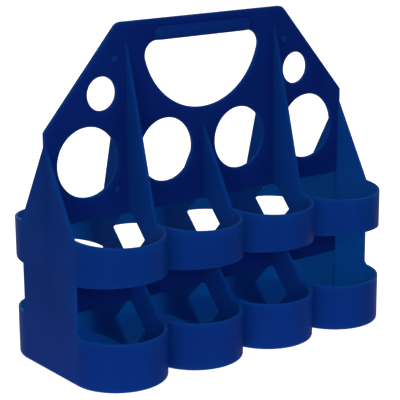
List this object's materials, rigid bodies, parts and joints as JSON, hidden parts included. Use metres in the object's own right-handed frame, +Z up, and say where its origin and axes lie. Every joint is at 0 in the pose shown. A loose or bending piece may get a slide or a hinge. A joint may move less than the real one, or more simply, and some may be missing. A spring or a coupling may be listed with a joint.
{
  "type": "bottle carrier",
  "caption": "Rigid moulded carrier for drinks bottles, with two rows of round pockets on either side of a flat handle panel.",
  "frame": {"origin": "centre of the footprint, at the level of the cups' flat bottoms", "axes": "+X along the row of pockets, +Y from the front pockets to the rear pockets, +Z up to the handle"},
  "size_m": [0.3224, 0.1624, 0.2874],
  "materials": {
    "moulded_blue": "deep blue polypropylene, satin to gloss, faint flow marks and fine scratches",
    "rivet_blue": "deep blue nylon, smooth domed heads"
  },
  "bodies": {
    "root": {"front_panel": "moulded_blue", "front_band": "moulded_blue", "front_end_left": "moulded_blue", "front_end_right": "moulded_blue", "front_divider_left": "moulded_blue", "front_divider_middle": "moulded_blue", "front_divider_right": "moulded_blue", "front_hoop_1": "moulded_blue", "front_hoop_2": "moulded_blue", "front_hoop_3": "moulded_blue", "front_hoop_4": "moulded_blue", "front_cup_1": "moulded_blue", "front_cup_2": "moulded_blue", "front_cup_3": "moulded_blue", "front_cup_4": "moulded_blue", "rear_panel": "moulded_blue", "rear_band": "moulded_blue", "rear_end_left": "moulded_blue", "rear_end_right": "moulded_blue", "rear_divider_left": "moulded_blue", "rear_divider_middle": "moulded_blue", "rear_divider_right": "moulded_blue", "rear_hoop_1": "moulded_blue", "rear_hoop_2": "moulded_blue", "rear_hoop_3": "moulded_blue", "rear_hoop_4": "moulded_blue", "rear_cup_1": "moulded_blue", "rear_cup_2": "moulded_blue", "rear_cup_3": "moulded_blue", "rear_cup_4": "moulded_blue", "snap_rivets": "rivet_blue"}
  },
  "joints": []
}
